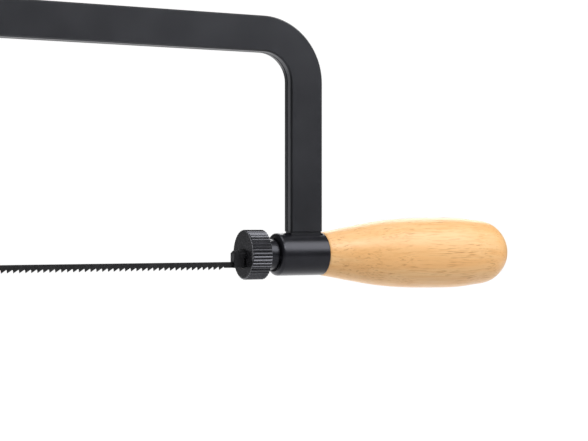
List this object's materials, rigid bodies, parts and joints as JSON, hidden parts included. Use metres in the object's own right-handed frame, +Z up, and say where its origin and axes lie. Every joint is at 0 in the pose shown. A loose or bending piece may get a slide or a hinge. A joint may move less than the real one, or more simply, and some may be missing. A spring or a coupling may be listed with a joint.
{
  "type": "coping saw",
  "caption": "Bow saw for curved cuts: a narrow toothed blade held between two turning holders, with a knurled tension knob and a turned wooden grip.",
  "frame": {"origin": "on the grip's axis, half way along the grip", "axes": "+X along the blade towards the butt of the grip, +Z up to the bow's top bar, Y across"},
  "size_m": [0.3753, 0.0408, 0.1519],
  "materials": {
    "bow_black": "satin",
    "socket_black": "satin",
    "knob_black": "satin",
    "blackened_steel": "satin",
    "plain_steel": "satin",
    "brass_insert": "satin",
    "grip_wood": "satin"
  },
  "bodies": {
    "frame_body": {"frame": "bow_black", "handle_socket": "socket_black", "toe_socket": "socket_black", "handle": "grip_wood", "handle_tang": "plain_steel", "handle_insert": "brass_insert"},
    "thrust_carrier": {"thrust_washer": "plain_steel"},
    "knob_body": {"tension_knob": "knob_black", "tension_screw": "blackened_steel"},
    "heel_holder_body": {"heel_holder": "blackened_steel", "heel_lock_nut": "plain_steel"},
    "toe_holder_body": {"toe_holder": "blackened_steel", "toe_washer": "blackened_steel", "toe_cap_nut": "blackened_steel"},
    "blade_body": {"blade": "blackened_steel", "heel_blade_pin": "plain_steel", "toe_blade_pin": "plain_steel"}
  },
  "joints": [
    {"name": "tension_travel", "type": "slide", "parent": "frame_body", "child": "thrust_carrier", "axis": [-1, 0, 0], "range_m": [0, 0.00187]},
    {"name": "tension_knob_turn", "type": "hinge", "parent": "thrust_carrier", "child": "knob_body", "pos_m": [-0.103, 0, 0], "axis": [1, 0, 0], "range_deg": [0, 540]},
    {"name": "heel_holder_turn", "type": "hinge", "parent": "thrust_carrier", "child": "heel_holder_body", "pos_m": [-0.1, 0, 0], "axis": [1, 0, 0], "continuous": true},
    {"name": "toe_holder_turn", "type": "hinge", "parent": "frame_body", "child": "toe_holder_body", "pos_m": [-0.29, 0, 0], "axis": [1, 0, 0], "continuous": true},
    {"name": "blade_unhook", "type": "slide", "parent": "toe_holder_body", "child": "blade_body", "axis": [0, 0, -1], "range_m": [0, 0.022]}
  ],
  "couplings": [
    {"joint": "tension_travel", "follows": "tension_knob_turn", "m_per_rad": 0.00019894},
    {"joint": "heel_holder_turn", "follows": "toe_holder_turn", "ratio": 1}
  ]
}
